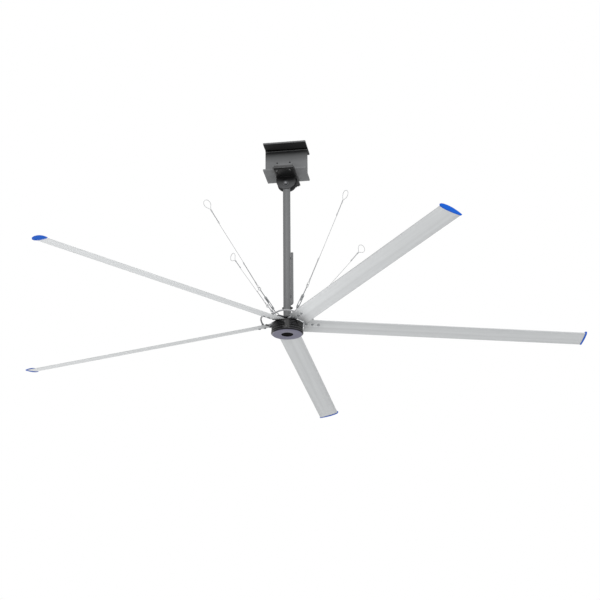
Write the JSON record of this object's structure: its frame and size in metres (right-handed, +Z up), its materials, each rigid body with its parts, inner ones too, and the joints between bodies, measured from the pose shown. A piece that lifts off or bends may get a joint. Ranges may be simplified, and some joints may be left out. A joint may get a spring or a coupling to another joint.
{
  "type": "high volume low speed ceiling fan",
  "caption": "Large slow ceiling fan: long hollow aerofoil blades with end caps on a black direct-drive motor drum, hung by a guyed downrod from a clamped H-beam stub.",
  "frame": {"origin": "middle of the top face of the H-beam stub, on the rotor's axis", "axes": "+Z up along the rotor's axis, +X along the beam"},
  "size_m": [4.6907, 4.4659, 1.632],
  "materials": {
    "beam_paint": "matt grey primer",
    "black_bolt": "black oxide",
    "bracket_enamel": "semi-gloss black enamel",
    "guy_enamel": "dark grey enamel",
    "plated_bolt": "zinc plate",
    "rod_enamel": "grey powder coat",
    "shaft_steel": "turned",
    "core_iron": "varnished laminations",
    "winding_copper": "enamelled copper wire",
    "galvanised": "galvanised",
    "wire_rope": "stranded, galvanised",
    "drum_enamel": "gloss black enamel",
    "magnet_coat": "nickel-coated magnets",
    "cover_enamel": "gloss dark enamel",
    "blade_alloy": "satin anodised",
    "cast_alloy": "cast, as blasted",
    "link_plate": "grey powder coat",
    "cap_plastic": "moulded, satin"
  },
  "bodies": {
    "mounting": {"beam_section": "beam_paint", "clamp_plate": "beam_paint", "clamp_bar_front": "beam_paint", "clamp_bar_rear": "beam_paint", "clamp_bolt_1": "black_bolt", "clamp_bolt_2": "black_bolt", "clamp_bolt_3": "black_bolt", "clamp_bolt_4": "black_bolt", "hanger_bracket": "bracket_enamel"},
    "suspension": {"pivot_bolt": "plated_bolt", "downrod": "rod_enamel", "cross_bolt": "black_bolt", "cable_conduit": "rod_enamel", "guy_plate": "guy_enamel", "motor_shaft": "shaft_steel", "stator_core": "core_iron", "stator_winding": "winding_copper", "guy_hook_1": "galvanised", "guy_hook_2": "galvanised", "guy_hook_3": "galvanised", "guy_hook_4": "galvanised"},
    "rotor": {"motor_drum": "drum_enamel", "magnet_ring": "magnet_coat", "upper_bearing": "plated_bolt", "lower_bearing": "plated_bolt", "bottom_cover": "cover_enamel", "centre_cap": "cover_enamel", "hub_plate": "drum_enamel", "blade_1": "blade_alloy", "blade_holder_1": "cast_alloy", "tip_cap_1": "cap_plastic", "blade_link_1": "link_plate", "blade_2": "blade_alloy", "blade_holder_2": "cast_alloy", "tip_cap_2": "cap_plastic", "blade_link_2": "link_plate", "blade_3": "blade_alloy", "blade_holder_3": "cast_alloy", "tip_cap_3": "cap_plastic", "blade_link_3": "link_plate", "blade_4": "blade_alloy", "blade_holder_4": "cast_alloy", "tip_cap_4": "cap_plastic", "blade_link_4": "link_plate", "blade_5": "blade_alloy", "blade_holder_5": "cast_alloy", "tip_cap_5": "cap_plastic", "blade_link_5": "link_plate"},
    "turnbuckle_1": {"turnbuckle_1": "galvanised"},
    "guy_end_1": {"guy_eye_1": "galvanised", "guy_wire_1": "wire_rope"},
    "turnbuckle_2": {"turnbuckle_2": "galvanised"},
    "guy_end_2": {"guy_eye_2": "galvanised", "guy_wire_2": "wire_rope"},
    "turnbuckle_3": {"turnbuckle_3": "galvanised"},
    "guy_end_3": {"guy_eye_3": "galvanised", "guy_wire_3": "wire_rope"},
    "turnbuckle_4": {"turnbuckle_4": "galvanised"},
    "guy_end_4": {"guy_eye_4": "galvanised", "guy_wire_4": "wire_rope"}
  },
  "joints": [
    {"name": "rod_tilt", "type": "hinge", "parent": "mounting", "child": "suspension", "pos_m": [0, 0, -0.335], "axis": [0, 1, 0], "range_deg": [-15, 15]},
    {"name": "rotor_spin", "type": "hinge", "parent": "suspension", "child": "rotor", "pos_m": [0, 0, -1.54], "axis": [0, 0, 1], "continuous": true},
    {"name": "turnbuckle_turn_1", "type": "hinge", "parent": "suspension", "child": "turnbuckle_1", "pos_m": [0.06849, 0.06849, -1.48594], "axis": [0.4867, 0.4867, 0.7254], "range_deg": [-2881, 2881]},
    {"name": "guy_takeup_1", "type": "slide", "parent": "suspension", "child": "guy_end_1", "axis": [0.4867, 0.4867, 0.7254], "range_m": [-0.01, 0.01]},
    {"name": "turnbuckle_turn_2", "type": "hinge", "parent": "suspension", "child": "turnbuckle_2", "pos_m": [-0.06849, 0.06849, -1.48594], "axis": [-0.4867, 0.4867, 0.7254], "range_deg": [-2881, 2881]},
    {"name": "guy_takeup_2", "type": "slide", "parent": "suspension", "child": "guy_end_2", "axis": [-0.4867, 0.4867, 0.7254], "range_m": [-0.01, 0.01]},
    {"name": "turnbuckle_turn_3", "type": "hinge", "parent": "suspension", "child": "turnbuckle_3", "pos_m": [-0.06849, -0.06849, -1.48594], "axis": [-0.4867, -0.4867, 0.7254], "range_deg": [-2881, 2881]},
    {"name": "guy_takeup_3", "type": "slide", "parent": "suspension", "child": "guy_end_3", "axis": [-0.4867, -0.4867, 0.7254], "range_m": [-0.01, 0.01]},
    {"name": "turnbuckle_turn_4", "type": "hinge", "parent": "suspension", "child": "turnbuckle_4", "pos_m": [0.06849, -0.06849, -1.48594], "axis": [0.4867, -0.4867, 0.7254], "range_deg": [-2881, 2881]},
    {"name": "guy_takeup_4", "type": "slide", "parent": "suspension", "child": "guy_end_4", "axis": [0.4867, -0.4867, 0.7254], "range_m": [-0.01, 0.01]}
  ],
  "couplings": [
    {"joint": "turnbuckle_turn_1", "follows": "guy_takeup_1", "rad_per_m": -5026.5},
    {"joint": "turnbuckle_turn_2", "follows": "guy_takeup_2", "rad_per_m": -5026.5},
    {"joint": "turnbuckle_turn_3", "follows": "guy_takeup_3", "rad_per_m": -5026.5},
    {"joint": "turnbuckle_turn_4", "follows": "guy_takeup_4", "rad_per_m": -5026.5}
  ]
}
